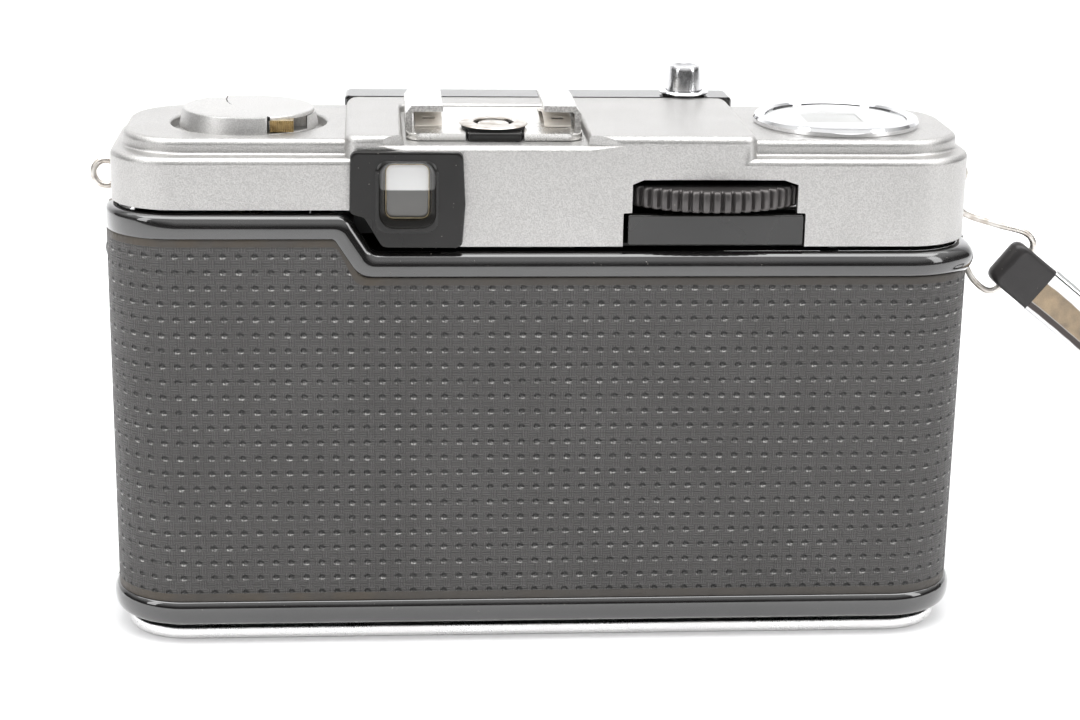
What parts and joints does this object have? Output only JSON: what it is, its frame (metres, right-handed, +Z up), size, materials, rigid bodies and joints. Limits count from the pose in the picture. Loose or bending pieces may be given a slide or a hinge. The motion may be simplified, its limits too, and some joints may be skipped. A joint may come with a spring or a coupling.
{
  "type": "half frame camera",
  "caption": "Half frame film camera with metered lens, thumb-wheel advance, folding rewind crank, hinged back and wrist strap.",
  "frame": {"origin": "centre of the base plate's underside, between the camera's sides and between the leather faces of its front and back", "axes": "+X towards the rewind side, -Y the way the lens looks, +Y out of the film back, +Z up"},
  "size_m": [0.2289, 0.0508, 0.0719],
  "materials": {
    "satin_silver": "bead-blasted satin silver",
    "steel": "bright pressed steel",
    "chrome": "polished chrome",
    "nickel": "dulled nickel plate",
    "black_enamel": "glossy black enamel",
    "cast_enamel": "die-cast alloy in glossy black enamel",
    "leatherette": "embossed dark grey leatherette",
    "black_plastic": "semi-gloss black",
    "dark_wheel": "satin black anodised",
    "brass": "plain brass",
    "white_dial": "white printed dial",
    "glass": "clear coated glass",
    "selenium": "dark metallic selenium",
    "vinyl": "black vinyl"
  },
  "bodies": {
    "camera_body": {"base_screw_1": "steel", "base_screw_2": "steel", "body_casting": "cast_enamel", "bottom_plate": "satin_silver", "cell_window": "glass", "counter_bezel": "chrome", "counter_window": "glass", "eyepiece_frame": "black_plastic", "eyepiece_glass": "glass", "front_leather": "leatherette", "front_lens": "glass", "front_panel": "black_enamel", "front_window": "glass", "hinge_pin": "steel", "lens_barrel": "black_plastic", "lens_mount_plate": "satin_silver", "lug_left": "nickel", "lug_right": "nickel", "rear_lens": "glass", "release_collar": "chrome", "selenium_cell": "selenium", "shoe_bracket": "steel", "shoe_contact": "steel", "shoe_insulator": "black_plastic", "shutter_base": "steel", "top_cover": "satin_silver", "tripod_socket": "steel", "viewfinder_tube": "black_plastic", "wheel_guard": "black_plastic"},
    "film_door": {"back_door": "black_enamel", "door_leather": "leatherette"},
    "film_pressure": {"pressure_plate": "black_enamel", "pressure_spring": "steel"},
    "latch": {"door_latch": "nickel"},
    "wheel": {"advance_wheel": "dark_wheel"},
    "sprocket": {"sprocket_shaft": "steel"},
    "spool": {"take_up_spool": "black_plastic"},
    "counter": {"counter_dial": "white_dial"},
    "shutter_button": {"release_button": "chrome"},
    "rewind_lift": {"rewind_collar": "brass"},
    "rewind": {"rewind_knob": "satin_silver", "rewind_fork": "steel"},
    "crank": {"rewind_crank": "satin_silver"},
    "aperture": {"aperture_ring": "satin_silver"},
    "film_speed": {"film_speed_ring": "black_plastic"},
    "blade_one": {"shutter_blade_1": "black_plastic"},
    "blade_two": {"shutter_blade_2": "black_plastic"},
    "rewind_release": {"rewind_release_button": "steel"},
    "link": {"strap_link": "nickel"},
    "strap": {"strap_tab": "vinyl", "strap_sleeve": "chrome", "wrist_strap": "vinyl"}
  },
  "joints": [
    {"name": "door_hinge", "type": "hinge", "parent": "camera_body", "child": "film_door", "pos_m": [-0.0553, 0.005, 0.0275], "axis": [0, 0, 1], "range_deg": [0, 95]},
    {"name": "pressure_travel", "type": "slide", "parent": "film_door", "child": "film_pressure", "axis": [0, 1, 0], "range_m": [0, 0.0004], "stiffness_N_per_m": 400, "springref_m": -0.0005},
    {"name": "latch_slide", "type": "slide", "parent": "camera_body", "child": "latch", "axis": [0, 0, -1], "range_m": [0, 0.0035], "stiffness_N_per_m": 150, "springref_m": -0.001},
    {"name": "wheel_turn", "type": "hinge", "parent": "camera_body", "child": "wheel", "pos_m": [-0.0215, 0.0037, 0.06], "axis": [0, 0, 1], "continuous": true},
    {"name": "sprocket_turn", "type": "hinge", "parent": "camera_body", "child": "sprocket", "pos_m": [-0.0175, 0.009, 0.0275], "axis": [0, 0, 1], "continuous": true},
    {"name": "spool_turn", "type": "hinge", "parent": "camera_body", "child": "spool", "pos_m": [-0.0395, 0, 0.0275], "axis": [0, 0, 1], "continuous": true},
    {"name": "counter_turn", "type": "hinge", "parent": "camera_body", "child": "counter", "pos_m": [-0.0395, 0, 0.066], "axis": [0, 0, 1], "continuous": true},
    {"name": "button_press", "type": "slide", "parent": "camera_body", "child": "shutter_button", "axis": [0, 0, -1], "range_m": [0, 0.0025], "stiffness_N_per_m": 300, "springref_m": -0.001},
    {"name": "rewind_pull", "type": "slide", "parent": "camera_body", "child": "rewind_lift", "axis": [0, 0, 1], "range_m": [0, 0.008]},
    {"name": "rewind_turn", "type": "hinge", "parent": "rewind_lift", "child": "rewind", "pos_m": [0.0383, 0, 0.066], "axis": [0, 0, 1], "continuous": true},
    {"name": "crank_fold", "type": "hinge", "parent": "rewind", "child": "crank", "pos_m": [0.0347, -0.0072, 0.0683], "axis": [1, 0, 0], "range_deg": [0, 160]},
    {"name": "aperture_turn", "type": "hinge", "parent": "camera_body", "child": "aperture", "pos_m": [0, -0.021, 0.0275], "axis": [0, 1, 0], "range_deg": [0, 75]},
    {"name": "film_speed_turn", "type": "hinge", "parent": "camera_body", "child": "film_speed", "pos_m": [0, -0.0315, 0.0275], "axis": [0, 1, 0], "range_deg": [0, 120]},
    {"name": "blade_one_swing", "type": "hinge", "parent": "camera_body", "child": "blade_one", "pos_m": [0.0034, -0.0143, 0.0361], "axis": [0, -1, 0], "range_deg": [0, 28], "stiffness_Nm_per_rad": 0.0001, "springref_deg": -11.46},
    {"name": "blade_two_swing", "type": "hinge", "parent": "camera_body", "child": "blade_two", "pos_m": [-0.0034, -0.015, 0.0361], "axis": [0, 1, 0], "range_deg": [0, 28], "stiffness_Nm_per_rad": 0.0001, "springref_deg": -11.46},
    {"name": "rewind_release_press", "type": "slide", "parent": "camera_body", "child": "rewind_release", "axis": [0, 0, 1], "range_m": [0, 0.0015], "stiffness_N_per_m": 200, "springref_m": -0.001},
    {"name": "link_swing", "type": "hinge", "parent": "camera_body", "child": "link", "pos_m": [-0.05855, -0.008, 0.0578], "axis": [0, 1, 0], "range_deg": [-12, 90]},
    {"name": "strap_swing", "type": "hinge", "parent": "link", "child": "strap", "pos_m": [-0.0678, -0.008, 0.04505], "axis": [-0.6252, 0, 0.7804], "range_deg": [-60, 60]}
  ],
  "couplings": [
    {"joint": "sprocket_turn", "follows": "wheel_turn", "ratio": 1},
    {"joint": "spool_turn", "follows": "wheel_turn", "ratio": 1.1},
    {"joint": "counter_turn", "follows": "wheel_turn", "ratio": 0.027778},
    {"joint": "blade_two_swing", "follows": "blade_one_swing", "ratio": 1}
  ]
}
